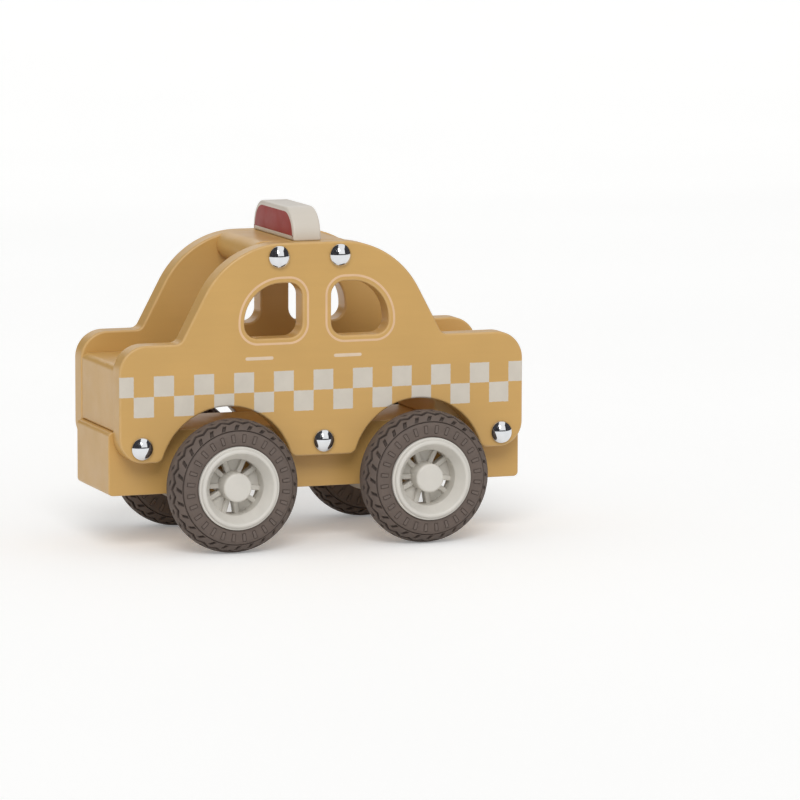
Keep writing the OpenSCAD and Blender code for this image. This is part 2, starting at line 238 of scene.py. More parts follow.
class TaxiStage(PropertyGroup):
    """Camera, light and floor."""

    lens: bpy.props.FloatProperty(
        name="Lens", description="Focal length on a 36 mm sensor", default=238.5, unit="CAMERA")
    place: vector("Camera place", "Where the camera stands", "TRANSLATION", -0.7443, -2.1746, 0.3649)
    yaw: angle("Yaw", "Turn of the camera from the taxi's side", 20.0)
    pitch: angle("Pitch", "Dip of the camera below level", 7.58)
    roll: angle("Roll", "Tilt of the camera", 0.15)
    floor: tint("Floor", "Colour of the floor", 250, 250, 249)
    floor_reach: length("Floor reach", "Radius of the floor", 9.0)
    glow: share("Floor glow", "Light of the floor's own, which keeps it white", 0.21)
    fill: share("Fill light", "Strength of the light from all round", 0.58, 2.0)
    key: share("Key light", "Strength of the main lamp", 1.15, 10.0)
    key_size: angle("Key size", "How wide the main lamp looks from the taxi", 28)
    key_way: vector("Key way", "Which way the main lamp shines", "DIRECTION", 0.24, 0.72, -0.65)


# Flat outlines. A loop keeps the wood on its left: outlines run anticlockwise and openings clockwise.


def arc(x, y, radius, start, end):
    """Points on an arc from one angle to another, in degrees."""
    finest = 2 * math.degrees(math.acos(1 - min(ARC_SAG / radius, 1)))
    count = max(2, math.ceil(abs(end - start) / finest))
    turns = [math.radians(start + (end - start) * i / count) for i in range(count + 1)]
    return [(x + radius * math.cos(a), y + radius * math.sin(a)) for a in turns]


def tidy_loop(points):
    """The loop without points that fall on the one before."""
    kept = []
    for p in points:
        if not kept or math.dist(p, kept[-1]) > TINY:
            kept.append(p)
    return kept[:-1] if math.dist(kept[0], kept[-1]) < TINY else kept


def signed_area(loop):
    return sum(a[0] * b[1] - b[0] * a[1] for a, b in zip(loop, loop[1:] + loop[:1])) / 2


def outline(points):
    loop = tidy_loop(points)
    return loop if signed_area(loop) > 0 else loop[::-1]


def opening(points):
    return outline(points)[::-1]


def inset(loop, distance):
    """The loop moved into the wood."""
    moved = []
    for before, here, after in zip(loop[-1:] + loop[:-1], loop, loop[1:] + loop[:1]):
        a = Vector((before[1] - here[1], here[0] - before[0])).normalized()
        b = Vector((here[1] - after[1], after[0] - here[0])).normalized()
        middle = (a + b).normalized()
        moved.append(Vector(here) + middle * (distance / max(middle.dot(a), MITRE_LIMIT)))
    return moved


def round_rect(low, high, radii):
    """A rectangle whose radii are in order: lower left, lower right, upper right, upper left."""
    (x0, y0), (x1, y1) = low, high
    a, b, c, d = radii
    return (arc(x0 + a, y0 + a, a, 180, 270) + arc(x1 - b, y0 + b, b, 270, 360)
            + arc(x1 - c, y1 - c, c, 0, 90) + arc(x0 + d, y1 - d, d, 90, 180))


def circle(x, y, radius):
    return arc(x, y, radius, 0, 360)


def mirrored(points, x):
    return [(2 * x - px, py) for px, py in points]


def arch_path(boards, x, low, axle_high):
    """A wheel arch with its rounded feet, from the rear foot to the front one."""
    centre_high = axle_high + boards.arch_lift
    corner = boards.arch_corner
    rise = low + corner - centre_high
    run = math.sqrt((boards.arch + corner) ** 2 - rise ** 2)
    tilt = math.degrees(math.atan2(rise, run))
    return (arc(x - run, low + corner, corner, -90, -tilt)
            + arc(x, centre_high, boards.arch, 180 - tilt, tilt)
            + arc(x + run, low + corner, corner, 180 + tilt, 270))


def panel_outline(boards):
    """A side panel's outline: the arches, the front end, the cabin's line over the roof and the rear end."""
    rear, front, low, roof = PANEL_LOW.x, PANEL_HIGH.x, PANEL_LOW.z, PANEL_HIGH.z
    lean = math.degrees(boards.lean)
    curve_high = roof - boards.roof_curve
    end_x = boards.roof_flat / 2 + boards.roof_curve * math.cos(boards.lean)
    end_high = curve_high + boards.roof_curve * math.sin(boards.lean)
    foot = (end_x + (end_high - boards.deck) * math.tan(boards.lean)
            + boards.cowl * math.tan((math.pi / 2 - boards.lean) / 2))
    mid, deck, corner, low_corner = boards.cabin_x, boards.deck, boards.deck_corner, boards.low_corner
    cabin_front = (arc(mid + foot, deck + boards.cowl, boards.cowl, 270, 180 + lean)
                   + arc(mid + boards.roof_flat / 2, curve_high, boards.roof_curve, lean, 90))
    points = []
    for end in ("rear", "front"):
        points += arch_path(boards, AXLES[end][0], low, AXLES[end][2])
    points += arc(front - low_corner, low + low_corner, low_corner, -90, 0)
    points += arc(front - corner, deck - corner, corner, 0, 90)
    points += cabin_front + mirrored(cabin_front, mid)[::-1]
    points += arc(rear + corner, deck - corner, corner, 90, 180)
    points += arc(rear + low_corner, low + low_corner, low_corner, 180, 270)
    return outline(points)


def window_openings(boards):
    """The front and the rear window, mirrored about the middle pillar."""
    start = boards.pillar_x + boards.pillar / 2
    small = boards.window_corner
    front = round_rect((start, boards.sill), (start + boards.window_wide, boards.sill + boards.window_high),
                       (small, small, boards.window_arc, small))
    return [opening(front), opening(mirrored(front, boards.pillar_x))]


# Meshes


def side_on(u, v, w):
    """From a loop drawn on the taxi's side, with its thickness across the taxi."""
    return (u, w, v)


def end_on(u, v, w):
    """From a loop drawn on the taxi's end, with its thickness along the taxi."""
    return (w, u, v)


def bridge(bm, a, b):
    """Faces between two rings of vertices, either of which may be a single one."""
    count = max(len(a), len(b))
    for i in range(count):
        j = (i + 1) % count
        if len(a) == 1:
            bm.faces.new((a[0], b[j], b[i]))
        elif len(b) == 1:
            bm.faces.new((a[i], a[j], b[0]))
        else:
            bm.faces.new((a[i], a[j], b[j], b[i]))


def add_board(bm, loops, low, high, edge, place):
    """A board between two levels, with rounded edges along every loop."""
    rounded = bm.verts.layers.float.get("edge") or bm.verts.layers.float.new("edge")
    quarter = [math.pi / 2 * i / EDGE_STEPS for i in range(EDGE_STEPS + 1)]
    # The third value peaks in the middle of each rounding, where the paint turns paler: partly wear, partly a
    # painted highlight.
    near = [(edge * (1 - math.sin(a)), low + edge * (1 - math.cos(a)), math.sin(2 * a)) for a in quarter]
    far = [(distance, low + high - level, wear_and_highlight) for distance, level, wear_and_highlight in near[::-1]]
    caps = ([], [])
    for loop in loops:
        rings = []
        for distance, level, wear_and_highlight in near + far:
            ring = [bm.verts.new(place(p[0], p[1], level)) for p in inset(loop, distance)]
            for vert in ring:
                vert[rounded] = wear_and_highlight
            rings.append(ring)
        for a, b in zip(rings, rings[1:]):
            bridge(bm, a, b)
        for cap, ring in zip(caps, (rings[0], rings[-1])):
            cap += [bm.edges.get(ends) for ends in zip(ring, ring[1:] + ring[:1])]
    for cap in caps:
        bmesh.ops.triangle_fill(bm, use_beauty=True, edges=cap)


def add_lathe(bm, section, place, steps=LATHE_STEPS):
    """A turned piece. Its section of (radius, reach) points starts and ends on the axis, or else closes."""
    rings = []
    for radius, reach in section:
        if radius < TINY:
            rings.append([bm.verts.new(place(0, 0, reach))])
            continue
        turns = [2 * math.pi * i / steps for i in range(steps)]
        rings.append([bm.verts.new(place(radius * math.cos(a), radius * math.sin(a), reach)) for a in turns])
    closed = len(rings[0]) > 1
    for a, b in zip(rings, rings[1:] + rings[:1] if closed else rings[1:]):
        bridge(bm, a, b)


def make_piece(name, bm, finish, body, slot, *nodes, flat=False):
    """Turns a mesh in the making into a piece that rides on a CAD body and stands for CAD nodes."""
    bmesh.ops.recalc_face_normals(bm, faces=bm.faces)
    for face in bm.faces:
        face.smooth = True
    for e in bm.edges:
        e.smooth = len(e.link_faces) != 2 or e.calc_face_angle() < SHARP
    mesh = bpy.data.meshes.new(name)
    bm.to_mesh(mesh)
    bm.free()
    piece = bpy.data.objects.new(name, mesh)
    bpy.context.scene.collection.objects.link(piece)
    mesh.materials.append(finish.material)
    if flat:
        weighted = piece.modifiers.new("flat_faces", "WEIGHTED_NORMAL")
        weighted.weight = 100
        weighted.keep_sharp = True
    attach(piece, body)
    if nodes:
        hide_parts(*nodes)


def dress_node(node, finish):
    """Gives a carried-over CAD node its finish."""
    materials = frame["nodes"][node].data.materials
    materials.clear()
    materials.append(finish.material)


# Finishes


class Finish:
    """A material in the making, with short ways to feed its shader."""

    def __init__(self, name, specular=0.5, metallic=0.0):
        self.material = bpy.data.materials.new(name)
        self.material.use_nodes = True
        self.nodes = self.material.node_tree.nodes
        self.links = self.material.node_tree.links
        self.shader = self.nodes["Principled BSDF"]
        self.spot = self.nodes.new("ShaderNodeTexCoord").outputs["Object"]
        self.shader.inputs["Specular IOR Level"].default_value = specular
        self.shader.inputs["Metallic"].default_value = metallic

    def feed(self, socket, value):
        if isinstance(value, bpy.types.NodeSocket):
            self.links.new(value, socket)
        elif value is not None:
            socket.default_value = value

    def add(self, kind, inputs, out=0, **settings):
        node = self.nodes.new("ShaderNode" + kind)
        for key, value in settings.items():
            setattr(node, key, value)
        for key, value in inputs.items():
            self.feed(node.inputs[key], value)
        return node.outputs[out]

    def sum(self, operation, a, b=None, c=None):
        return self.add("Math", {0: a, 1: b, 2: c}, operation=operation)

    def noise(self, size, detail=3.0, stretch=None):
        """Cloudy variation whose patches are about the given size, stretched along the axes if asked."""
        spot = self.spot
        if stretch:
            spot = self.add("Mapping", {"Vector": spot, "Scale": stretch})
        return self.add("TexNoise", {"Vector": spot, "Scale": 1 / size, "Detail": detail})

    def spread(self, value, low, high, start=0.3, end=0.7):
        limits = {"From Min": start, "From Max": end, "To Min": low, "To Max": high}
        return self.add("MapRange", {"Value": value, **limits})

    def blend(self, factor, a, b):
        a, b = ((*c, 1.0) if isinstance(c, tuple) else c for c in (a, b))
        return self.add("Mix", {"Factor": factor, 6: a, 7: b}, out=2, data_type="RGBA")

    def mottled(self, clouds, colour, dark, pale):
        """The colour, darker and paler by turns as the clouds go."""
        return self.blend(self.spread(clouds, 0.0, 1.0), shade(colour, dark), shade(colour, pale))

    def attribute(self, name):
        return self.add("Attribute", {}, out="Fac", attribute_name=name)

    def coat(self, tone, roughness, *bumps):
        """Sets the colour, the roughness and any number of (height, depth in metres) bumps."""
        self.links.new(tone, self.shader.inputs["Base Color"])
        self.links.new(roughness, self.shader.inputs["Roughness"])
        normal = None
        for height, depth in bumps:
            sizes = {"Strength": 1.0, "Distance": depth, "Height": height}
            normal = self.add("Bump", {**sizes, "Normal": normal})
        if normal:
            self.links.new(normal, self.shader.inputs["Normal"])
        return self


def shade(colour, factor):
    return tuple(min(c * factor, 1.0) for c in colour)


def toward(colour, other, part):
    return tuple(a + (b - a) * part for a, b in zip(colour, other))


PAINT_SHINE = 0.42


def paint_tone(finish, colour):
    """Satin paint over wood: soft clouds, a trace of lengthwise grain, and paler rounded edges that are
    partly sanding wear and partly a painted highlight.
    """
    clouds = finish.noise(0.030, 2.0)
    grain = finish.noise(0.0022, 4.0, stretch=(0.07, 1.0, 1.0))
    tone = finish.mottled(clouds, colour, 0.965, 1.03)
    tone = finish.blend(finish.spread(grain, 0.0, 0.16), tone, shade(colour, 0.86))
    # Painted highlight mixed with wear: the rounded edges turn paler and whiter, patchily.
    edges = finish.attribute("edge")
    patchy = finish.spread(finish.noise(0.004, 3.0), 0.16, 0.44)
    wear_and_highlight = finish.sum("MULTIPLY", edges, patchy)
    return finish.blend(wear_and_highlight, tone, toward(shade(colour, 1.12), WHITE, 0.16)), grain


def paint_coat(finish, tone, grain):
    """The paint's gloss and its fine sprayed surface."""
    spray = finish.noise(0.00055, 2.0)
    rough = finish.spread(finish.noise(0.012, 3.0), 0.30, 0.40)
    return finish.coat(tone, rough, (grain, 0.00002), (spray, 0.000012))


def satin_paint(name, colour):
    finish = Finish(name, specular=PAINT_SHINE)
    return paint_coat(finish, *paint_tone(finish, colour))


def printed_ochre_paint(boards, prints):
    """The ochre paint with the two-row band of pale squares printed on the panels' outer faces."""
    finish = Finish("printed_ochre_paint", specular=PAINT_SHINE)
    tone, grain = paint_tone(finish, boards.ochre)
    split = finish.nodes.new("ShaderNodeSeparateXYZ")
    ragged = finish.spread(finish.noise(0.0009, 2.0), -0.00007, 0.00007)
    finish.links.new(finish.spot, split.inputs[0])
    along = finish.sum("ADD", split.outputs["X"], ragged)
    up = finish.sum("ADD", split.outputs["Z"], ragged)
    squares = finish.sum("DIVIDE", finish.sum("SUBTRACT", along, prints.start), prints.square)
    column = finish.sum("FLOOR", squares)
    level = finish.sum("DIVIDE", finish.sum("SUBTRACT", up, prints.middle), prints.row)
    odd = finish.sum("FLOORED_MODULO", finish.sum("ADD", column, finish.sum("FLOOR", level)), 2.0)
    pale = finish.sum("LESS_THAN", odd, 0.5)
    band = finish.sum("LESS_THAN", finish.sum("ABSOLUTE", level), 1.0)
    face = PANEL_FACE - boards.edge * PRINT_WRAP
    outside = finish.sum("GREATER_THAN", finish.sum("ABSOLUTE", split.outputs["Y"]), face)
    mask = finish.sum("MULTIPLY", finish.sum("MULTIPLY", pale, band), outside)
    ink = finish.mottled(finish.noise(0.006, 4.0), prints.ink, 0.955, 1.025)
    return paint_coat(finish, finish.blend(finish.sum("MULTIPLY", mask, INK_COVER), tone, ink), grain)


def ink_film(name, colour):
    """Screen-printed ink, with a fine uneven film."""
    finish = Finish(name, specular=0.4)
    tone = finish.mottled(finish.noise(0.005, 4.0), colour, 0.95, 1.03)
    weave = finish.noise(0.0004, 2.0)
    return finish.coat(tone, finish.spread(finish.noise(0.008), 0.40, 0.52), (weave, 0.00001))


def bare_wood(boards):
    finish = Finish("bare_wood", specular=0.3)
    grain = finish.noise(0.0012, 5.0, stretch=(1.0, 1.0, 0.08))
    tone = finish.mottled(grain, boards.wood, 0.78, 1.08)
    return finish.coat(tone, finish.spread(grain, 0.55, 0.72), (grain, 0.00004))


def metal(name, colour, low, high, stretch):
    """Bare or plated metal with fine handling marks."""
    finish = Finish(name, metallic=1.0)
    haze = finish.noise(0.003, 4.0)
    marks = finish.noise(0.0005, 3.0, stretch=stretch)
    tone = finish.mottled(haze, colour, 0.94, 1.03)
    return finish.coat(tone, finish.spread(haze, low, high), (marks, 0.0000015))


def tyre_rubber(wheels):
    """Matte rubber, with painted shade in the slots, the grooves and the lines round the side bars, and dusty
    on what stands out.
    """
    finish = Finish("brown_rubber", specular=0.32)
    colour = wheels.rubber
    relief = finish.attribute("relief")
    dust = finish.noise(0.006, 4.0)
    tone = finish.mottled(dust, colour, 0.90, 1.07)
    # Painted shade: the slots, the grooves and the lines round the bars darken toward half the rubber's
    # colour.
    tone = finish.blend(finish.spread(relief, 0.62, 0.0, -1.0, 0.0), tone, shade(colour, 0.48))
    tone = finish.blend(finish.spread(relief, 0.0, 0.30, 0.0, 1.0), tone, toward(colour, WHITE, 0.04))
    grit = finish.noise(0.0005, 3.0)
    return finish.coat(tone, finish.spread(dust, 0.62, 0.78), (grit, 0.00003))


def moulded_plastic(wheels, name):
    """Plastic with a soft sheen and a trace of flow marks."""
    finish = Finish(name, specular=0.45)
    flow = finish.noise(0.010, 4.0)
    skin = finish.noise(0.0007, 2.0)
    tone = finish.mottled(flow, wheels.plastic, 0.955, 1.025)
    return finish.coat(tone, finish.spread(flow, 0.34, 0.46), (flow, 0.00003), (skin, 0.000008))


# Operators


class TAXI_OT_side_panels(Operator):
    """Cut both side panels with rounded edges, windows and wheel arches, and print the band"""

    bl_idname = "taxi.side_panels"
    bl_label = "Side panels"

    def execute(self, context):
        boards, shank = context.scene.taxi_boards, context.scene.taxi_hardware.shank
        finish = printed_ochre_paint(boards, context.scene.taxi_prints)
        for side in SIDES:
            node = f"{side}_side_panel"
            low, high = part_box(node)
            loops = [panel_outline(boards), *window_openings(boards)]
            for group in SCREW_GROUPS:
                loops += [opening(circle(x, z, shank)) for x, z in screw_places(f"{side}_{group}_screws")]
            bm = bmesh.new()
            add_board(bm, loops, low.y, high.y, boards.edge, side_on)
            make_piece(f"{side}_panel", bm, finish, "body", "ochre_paint", node, flat=True)
        return {"FINISHED"}


class TAXI_OT_print_lines(Operator):
    """Print the lines round the windows and the door handles on both panels"""

    bl_idname = "taxi.print_lines"
    bl_label = "Window lines and handles"

    def execute(self, context):
        boards, prints = context.scene.taxi_boards, context.scene.taxi_prints
        line_ink = ink_film("window_line_ink", prints.line_ink)
        handle_ink = ink_film("handle_ink", prints.handle_ink)
        depth = prints.film * INK_SINK
        for side, way in SIDES.items():
            face = way * PANEL_FACE
            low, high = sorted((face - way * depth, face + way * prints.film))
            bm = bmesh.new()
            for window in window_openings(boards):
                outer = inset(window, prints.line_gap + prints.line / 2)
                inner = inset(window, prints.line_gap - prints.line / 2)
                add_board(bm, [outline(outer), opening(inner)], low, high, prints.film / 2, side_on)
            make_piece(f"{side}_window_lines", bm, line_ink, "body", "ochre_paint")
            bm = bmesh.new()
            end = prints.handle_wide / 2
            reach = prints.handle_length / 2 - end
            for x in (prints.front_handle, prints.rear_handle):
                front = arc(x + reach, prints.handle_high, end, -90, 90)
                rear = arc(x - reach, prints.handle_high, end, 90, 270)
                add_board(bm, [outline(front + rear)], low, high, prints.film / 2, side_on)
            make_piece(f"{side}_door_handles", bm, handle_ink, "body", "ochre_paint")
        return {"FINISHED"}


class TAXI_OT_inner_blocks(Operator):
    """Shape the chassis block, the bonnet and boot blocks and the roof board between the panels"""

    bl_idname = "taxi.inner_blocks"
    bl_label = "Blocks and roof board"

    def execute(self, context):
        boards = context.scene.taxi_boards
        finish = satin_paint("ochre_paint", boards.ochre)
        sharp, corner = boards.edge, boards.block_corner
        nose = (ROOF_HIGH.z - ROOF_LOW.z) / 2 * ROOF_NOSE
        bores = [opening(circle(x, z, boards.bore)) for x, _, z in AXLES.values()]
        for name, node, radii, holes in (
            ("chassis", "chassis_block", (boards.chassis_corner,) * 4, bores),
            ("bonnet", "bonnet_block", (sharp, sharp, corner, sharp), []),
            ("boot", "boot_block", (sharp, sharp, sharp, corner), []),
            ("roof", "roof_board", (nose,) * 4, []),
        ):
            low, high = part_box(node)
            shape = outline(round_rect((low.x, low.z), (high.x, high.z), radii))
            bm = bmesh.new()
            add_board(bm, [shape, *holes], low.y, high.y, boards.edge / 2, side_on)
            make_piece(name, bm, finish, "body", "ochre_paint", node, flat=True)
        return {"FINISHED"}


class TAXI_OT_roof_sign(Operator):
    """Shape the sign on the roof, with its red rear face"""

    bl_idname = "taxi.roof_sign"
    bl_label = "Roof sign"

    def execute(self, context):
        boards, prints = context.scene.taxi_boards, context.scene.taxi_prints
        low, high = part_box("roof_sign")
        foot, shoulder = boards.edge * SIGN_FOOT, boards.shoulder
        shape = outline(round_rect((low.y, low.z), (high.y, high.z), (foot, foot, shoulder, shoulder)))
        finish = satin_paint("cream_paint", boards.cream)
        bm = bmesh.new()
        add_board(bm, [shape], low.x, high.x, boards.edge, end_on)
        make_piece("sign", bm, finish, "body", "cream_paint", "roof_sign", flat=True)
        bm = bmesh.new()
        inner = inset(shape, boards.edge + prints.border)
        add_board(bm, [outline(inner)], low.x - prints.film, low.x + prints.film * INK_SINK,
                  prints.film / 2, end_on)
        make_piece("sign_red_face", bm, ink_film("sign_red_ink", prints.red), "body", "cream_paint")
        return {"FINISHED"}


# Depth of a screw head's top, for finding its middle, and the least distance between two screws
HEAD_TOP = 0.00005
SCREWS_APART = 0.005


def screw_places(node):
    """Where a node's screws stand, as (place along the taxi, height), from the middles of their heads."""
    verts = [v.co for v in frame["nodes"][node].data.vertices]
    outmost = max(abs(v.y) for v in verts)
    tops = [(v.x, v.z) for v in verts if abs(v.y) > outmost - HEAD_TOP]
    places = []
    for x, z in sorted(tops):
        if not places or x - places[-1][-1][0] > SCREWS_APART:
            places.append([])
        places[-1].append((x, z))
    return [tuple(sum(values) / len(group) for values in zip(*group)) for group in places]


class TAXI_OT_screws(Operator):
    """Turn the domed chrome screws that hold the panels"""

    bl_idname = "taxi.screws"
    bl_label = "Domed screws"

    def execute(self, context):
        hardware = context.scene.taxi_hardware
        finish = metal("chrome_dome", hardware.chrome, 0.035, 0.075, (1.0, 1.0, 1.0))
        head, dome = hardware.head, hardware.dome
        rise = dome - hardware.skirt
        ball = (head ** 2 + rise ** 2) / (2 * rise)
        soft = hardware.skirt / 8
        cap = arc(0, dome - ball, ball, 90, math.degrees(math.acos((head - soft) / ball)))
        cap += [(head, hardware.skirt - soft), (head, soft), (head - soft, 0)]
        for side, way in SIDES.items():
            for group in SCREW_GROUPS:
                node = f"{side}_{group}_screws"
                low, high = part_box(node)
                tip = PANEL_FACE - min(abs(low.y), abs(high.y))
                section = cap + [(hardware.shank, 0), (hardware.shank, -tip), (0, -tip)]
                bm = bmesh.new()
                for x, z in screw_places(node):
                    add_lathe(bm, section, lambda u, v, w, x=x, z=z: (
                        x + u, way * (PANEL_FACE + w), z + v), DOME_STEPS)
                make_piece(f"{side}_{group}_domes", bm, finish, "body", "chrome_dome", node)
        return {"FINISHED"}


class TAXI_OT_axles(Operator):
    """Give the axles and the dowels their metal and wood"""

    bl_idname = "taxi.axles"
    bl_label = "Axles and dowels"

    def execute(self, context):
        steel = metal("steel_rod", context.scene.taxi_hardware.steel, 0.24, 0.38, (1.0, 0.05, 1.0))
        wood = bare_wood(context.scene.taxi_boards)
        for end in ENDS:
            dress_node(f"{end}_axle", steel)
        for group in ("sign", "bonnet", "boot"):
            dress_node(f"{group}_dowels", wood)
        return {"FINISHED"}


def at_wheel(end, side, turn=0.0):
    """From a wheel's own (u, v, outward) to the frame, for one of the four wheels."""
    x, _, z = AXLES[end]
    way = SIDES[side]
    c, s = math.cos(turn), math.sin(turn)
    return lambda u, v, w: (x + c * u - s * v, way * (WHEEL_MIDDLE + w), z + s * u + c * v)


# The tread's columns, as shares of a pitch: outer slots, side bars with their feet, and crown slots
SLOT_A = (0.00, 0.05, 0.25, 0.30)
BAR = (0.32, 0.345, 0.385, 0.615, 0.655, 0.68)
SLOT_B = (0.50, 0.55, 0.75, 0.80)
COLUMNS = sorted({*SLOT_A, *BAR, *SLOT_B})
# The crown's rows as (degrees from the crown's middle, zone, share of the zigzag's swing)
CROWN_ROWS = (
    (64.6, "foot", 0), (63.6, "", 0), (60.5, "", 0), (57.2, "", 0), (56.4, "groove", 0), (54.0, "groove", 0),
    (53.2, "", 0), (52.0, "", 0), (51.2, "slot_a", 0), (46.0, "slot_a", 0), (41.0, "slot_a", 0.05),
    (37.6, "slot_a", 0.12), (36.8, "", 0.15), (34.0, "", 0.5), (31.0, "", 1), (30.2, "zigzag", 1),
    (23.0, "zigzag", 1), (22.2, "", 1), (19.0, "", 0.55), (16.0, "", 0.2), (15.2, "slot_b", 0.15),
    (11.0, "slot_b", 0), (7.5, "slot_b", 0), (6.7, "", 0), (3.0, "", 0),
)
# The degrees that stand for a tyre's flat side
FLANK = 90.0
# How far the columns lean at crown degrees, in shares of a pitch
LEANS = ((FLANK, 0.0), (52.0, 0.0), (37.0, -0.25), (18.0, -0.25), (7.0, 0.05), (0.0, 0.05))
HALF_PITCH = 0.5
# How deep the line round a bar and the groove beside the crown are, as shares of a bar and of a slot, which
# also sets how much painted shade they get
FOOT = -0.7
GROOVE = -0.6


def between(table, at):
    """The value of a table of (place, value) at a place between its ends."""
    for (a, low), (b, high) in zip(table, table[1:]):
        if min(a, b) <= at <= max(a, b):
            return low + (high - low) * (at - a) / (b - a)
    return table[-1][1]


def zigzag_at(column):
    """The zigzag groove's swing at a column, from -1 beside the outer slot to 1 half a pitch on."""
    turn = (column - SLOT_A[2]) % 1.0
    return between(((0.0, -1.0), (HALF_PITCH, 1.0), (1.0, -1.0)), turn)


def tyre_relief(zone, column):
    """How a tyre's surface stands out at a row's zone and a column: 1 on a bar, -1 in a slot or groove. Below
    0 it also sets the painted shade.
    """
    if zone in ("groove", "zigzag"):
        return -1.0 if zone == "zigzag" else GROOVE
    if zone in ("bar", "foot") and BAR[1] <= column <= BAR[4]:
        return 1.0 if zone == "bar" and BAR[2] <= column <= BAR[3] else FOOT
    span = {"slot_a": SLOT_A, "slot_b": SLOT_B}.get(zone)
    return -1.0 if span and span[1] <= column <= span[2] else 0.0


def tyre_section(wheels):
    """The tyre's outer half as rows of (radius, reach, zone, swing, degrees), from the lip to the crown."""
    step = wheels.bar / 2
    shelf = TYRE_HALF - wheels.sink
    bead = wheels.sink * TYRE_BEAD
    start, end = wheels.bar_start, wheels.bar_end
    rows = [(wheels.lip - step, shelf), (wheels.lip, shelf)]
    rows += arc(wheels.lip + bead, TYRE_HALF - bead, bead, 180, 90)
    rows = [(r, h, "") for r, h in rows]
    rows += [(start - 2 * step, TYRE_HALF, ""), (start - step, TYRE_HALF, "foot")]
    rows += [(r, TYRE_HALF, "bar") for r in (start, (start + end) / 2, end)]
    rows = [(r, h, zone, 0, FLANK) for r, h, zone in rows]
    return rows + [(0, 0, zone, swing, degrees) for degrees, zone, swing in CROWN_ROWS] + [(0, 0, "", 0, 0.0)]


def add_tyre(bm, wheels, place):
    """A tyre as rows round its section, whose columns follow the tread's slots and zigzag."""
    relief = bm.verts.layers.float.new("relief")
    centre = TYRE_R - wheels.crown
    pitch = 2 * math.pi / wheels.lugs
    heights = {"bar": wheels.bar, "foot": wheels.bar}
    half = tyre_section(wheels)
    inner_start = next(i for i, row in enumerate(half) if row[2])
    rings = []

    def add_ring(row, way, offset):
        radius, reach, zone, swing, degrees = row
        ring = []
        for lug in range(wheels.lugs):
            for column in COLUMNS:
                out = tyre_relief(zone, column)
                r, h, nr, nh = radius, reach, 0.0, 1.0
                if degrees < FLANK:
                    a = math.radians(degrees) + swing * wheels.zigzag * zigzag_at(column)
                    nr, nh = math.cos(a), math.sin(a)
                    r, h = centre + wheels.crown * nr, wheels.crown * nh
                rise = out * heights.get(zone, wheels.slot)
                turn = (lug + column + between(LEANS, degrees) + offset) * pitch
                r, h = r + nr * rise, way * (h + nh * rise)
                vert = bm.verts.new(place(r * math.cos(turn), r * math.sin(turn), h))
                vert[relief] = out
                ring.append(vert)
        rings.append(ring)

    for row in half:
        add_ring(row, 1, 0)
    for row in half[-2:inner_start - 1:-1]:
        add_ring(row, -1, HALF_PITCH)
    under = wheels.seat + wheels.bar / 3
    for reach, offset in ((-TYRE_HALF, HALF_PITCH), (0, HALF_PITCH / 2), (TYRE_HALF - wheels.sink, 0)):
        add_ring((under, reach, "", 0, FLANK), 1, offset)
    for a, b in zip(rings, rings[1:] + rings[:1]):
        bridge(bm, a, b)


class TAXI_OT_tyres(Operator):
    """Mould the four rubber tyres with their tread and side bars"""

    bl_idname = "taxi.tyres"
    bl_label = "Tyres"

    def execute(self, context):
        wheels = context.scene.taxi_wheels
        finish = tyre_rubber(wheels)
        for end, side in WHEELS:
            bm = bmesh.new()
            add_tyre(bm, wheels, at_wheel(end, side))
            make_piece(f"{end}_{side}_rubber", bm, finish, f"{end}_wheelset", "brown_rubber",
                       f"{end}_{side}_tyre")
        return {"FINISHED"}


def web_back(wheels):
    """How far the back of the web that carries the ribs stands out from the wheel's middle plane."""
    return RIM_FACE - wheels.rib_depth - wheels.rib_high - wheels.web


def ring_section(wheels):
    """The rim's ring: tyre seat, thin flange, round bead, sloping dish, recess wall and hollow back."""
    inner, shelf, back = -TYRE_HALF, TYRE_HALF - wheels.sink, web_back(wheels)
    flange, bead = shelf + wheels.flange, wheels.bead
    thin, soft = bead * RIM_FLANGE, bead * RIM_SOFT
    edge = RIM_FACE - wheels.dish
    return ([(wheels.seat, inner), (wheels.seat, shelf), (wheels.lip, shelf)]
            + arc(wheels.lip - thin, flange - thin, thin, 0, 90)
            + arc(wheels.bead_r, RIM_FACE - bead, bead, -15, 152)
            + arc(wheels.recess + soft, edge - soft, soft, 150, 180)
            + [(wheels.recess, back), (wheels.back, back), (wheels.back, inner)])


def hub_section(wheels):
    """The hub with its boss, round the axle."""
    end, back = RIM_FACE - wheels.hub_depth, web_back(wheels)
    bore = wheels.boss * HUB_BORE
    return [(bore, BOSS_END), (wheels.boss, BOSS_END), (wheels.boss, back), (wheels.hub, back),
            (wheels.hub, end), (bore, end)]


def cap_section(wheels):
    """A hub cap with a round edge, on the hub's end."""
    edge = wheels.cap_edge
    foot = RIM_FACE - wheels.hub_depth + edge * CAP_GAP
    return ([(0, CAP_FACE)] + arc(wheels.hub - edge, CAP_FACE - edge, edge, 90, 0)
            + [(wheels.hub, foot), (0, foot)])


